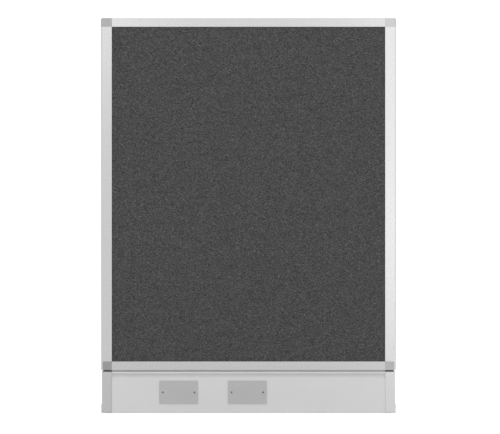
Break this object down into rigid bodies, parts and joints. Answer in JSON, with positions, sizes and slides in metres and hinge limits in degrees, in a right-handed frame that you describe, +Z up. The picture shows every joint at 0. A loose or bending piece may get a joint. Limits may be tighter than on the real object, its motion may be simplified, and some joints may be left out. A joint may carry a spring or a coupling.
{
  "type": "partition wall",
  "caption": "Freestanding fabric panel in an aluminium frame on a cable raceway base, with hinged covers, blank outlet plates and levelling glides.",
  "frame": {"origin": "on the floor, under the middle of the panel", "axes": "+X to the right seen from the front, +Y to the rear, +Z up; the front faces -Y"},
  "size_m": [0.9144, 0.0562, 1.224],
  "materials": {
    "frame_metal": "satin",
    "block_plastic": "satin",
    "leg_metal": "satin",
    "cover_metal": "satin",
    "plate_plastic": "satin",
    "fabric": "matte",
    "tack_board": "matte",
    "honeycomb_paper": "matte",
    "batten_wood": "matte",
    "rubber": "matte",
    "glide_plastic": "matte",
    "zinc_steel": "satin",
    "bracket_steel": "satin",
    "brass": "satin"
  },
  "bodies": {
    "panel": {"left_stile": "frame_metal", "right_stile": "frame_metal", "top_rail": "frame_metal", "bottom_rail": "frame_metal", "top_left_block": "block_plastic", "top_right_block": "block_plastic", "bottom_left_block": "block_plastic", "bottom_right_block": "block_plastic", "stile_screws": "zinc_steel", "rail_screws": "zinc_steel", "link_nuts": "zinc_steel", "front_fabric": "fabric", "rear_fabric": "fabric", "front_board": "tack_board", "rear_board": "tack_board", "honeycomb": "honeycomb_paper", "left_batten": "batten_wood", "right_batten": "batten_wood", "top_batten": "batten_wood", "bottom_batten": "batten_wood", "setting_pads": "rubber", "spine": "frame_metal", "divider": "frame_metal", "spine_screws": "zinc_steel", "rail_nuts": "zinc_steel", "left_leg": "leg_metal", "right_leg": "leg_metal", "leg_bolts": "zinc_steel", "leg_inserts": "brass", "left_grommet": "rubber", "right_grommet": "rubber", "left_bracket": "bracket_steel", "right_bracket": "bracket_steel", "bracket_screws": "zinc_steel", "glide_nuts": "zinc_steel", "front_catches": "zinc_steel", "rear_catches": "zinc_steel", "catch_rivets": "frame_metal"},
    "front_cover": {"front_cover": "cover_metal", "front_left_plate": "plate_plastic", "front_right_plate": "plate_plastic", "front_plate_screws": "zinc_steel", "front_clip_nuts": "zinc_steel"},
    "rear_cover": {"rear_cover": "cover_metal", "rear_left_plate": "plate_plastic", "rear_right_plate": "plate_plastic", "rear_plate_screws": "zinc_steel", "rear_clip_nuts": "zinc_steel"},
    "left_glide": {"left_glide": "glide_plastic"},
    "right_glide": {"right_glide": "glide_plastic"},
    "left_stem": {"left_stem": "zinc_steel"},
    "right_stem": {"right_stem": "zinc_steel"}
  },
  "joints": [
    {"name": "front_cover_hinge", "type": "hinge", "parent": "panel", "child": "front_cover", "pos_m": [0, -0.022, 0.1256], "axis": [-1, 0, 0], "range_deg": [0, 95]},
    {"name": "rear_cover_hinge", "type": "hinge", "parent": "panel", "child": "rear_cover", "pos_m": [0, 0.022, 0.1256], "axis": [1, 0, 0], "range_deg": [0, 95]},
    {"name": "left_glide_travel", "type": "slide", "parent": "panel", "child": "left_glide", "axis": [0, 0, -1], "range_m": [0, 0.025]},
    {"name": "right_glide_travel", "type": "slide", "parent": "panel", "child": "right_glide", "axis": [0, 0, -1], "range_m": [0, 0.025]},
    {"name": "left_stem_turn", "type": "hinge", "parent": "left_glide", "child": "left_stem", "pos_m": [-0.4333, 0, 0.0093], "axis": [0, 0, -1], "range_deg": [0, 6005]},
    {"name": "right_stem_turn", "type": "hinge", "parent": "right_glide", "child": "right_stem", "pos_m": [0.4333, 0, 0.0093], "axis": [0, 0, -1], "range_deg": [0, 6005]}
  ],
  "couplings": [
    {"joint": "left_stem_turn", "follows": "left_glide_travel", "rad_per_m": 4188.8},
    {"joint": "right_stem_turn", "follows": "right_glide_travel", "rad_per_m": 4188.8}
  ]
}
